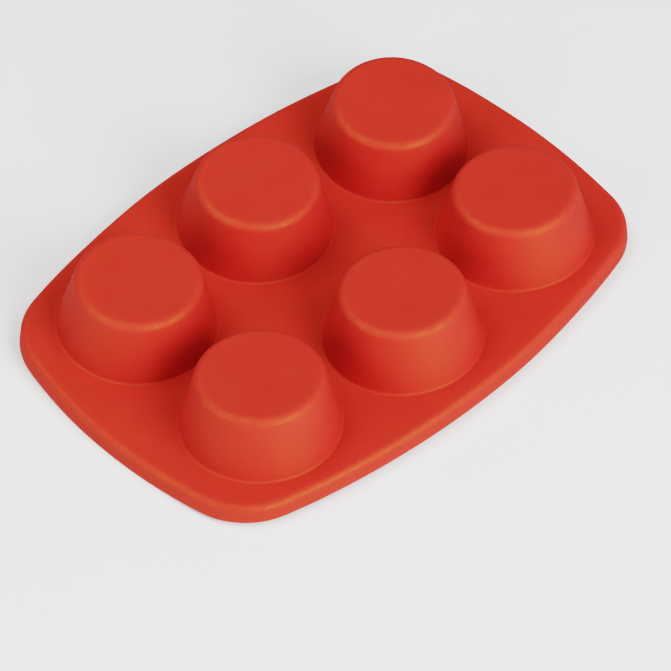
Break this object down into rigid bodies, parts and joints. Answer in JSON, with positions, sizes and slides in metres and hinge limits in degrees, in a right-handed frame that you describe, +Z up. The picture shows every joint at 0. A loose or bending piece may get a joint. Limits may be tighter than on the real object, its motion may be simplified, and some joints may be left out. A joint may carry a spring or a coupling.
{
  "type": "silicone muffin mould",
  "caption": "Flexible muffin mould: tapered round cups standing on a deck with rounded corners and a short turned-down skirt.",
  "frame": {"origin": "middle of the rim's flat underside, on the surface the mould stands on", "axes": "+X along a row of three cups, +Y towards the back row, +Z up through the cup floors: the mould is upside down, as it stands to drain or cool; in use it is turned over and stands on its cup floors"},
  "size_m": [0.2808, 0.1958, 0.0397],
  "materials": {
    "silicone": "satin, orange-red silicone"
  },
  "bodies": {
    "root": {"deck": "silicone", "rim": "silicone", "cup_front_left": "silicone", "cup_front_middle": "silicone", "cup_front_right": "silicone", "cup_back_left": "silicone", "cup_back_middle": "silicone", "cup_back_right": "silicone"}
  },
  "joints": []
}
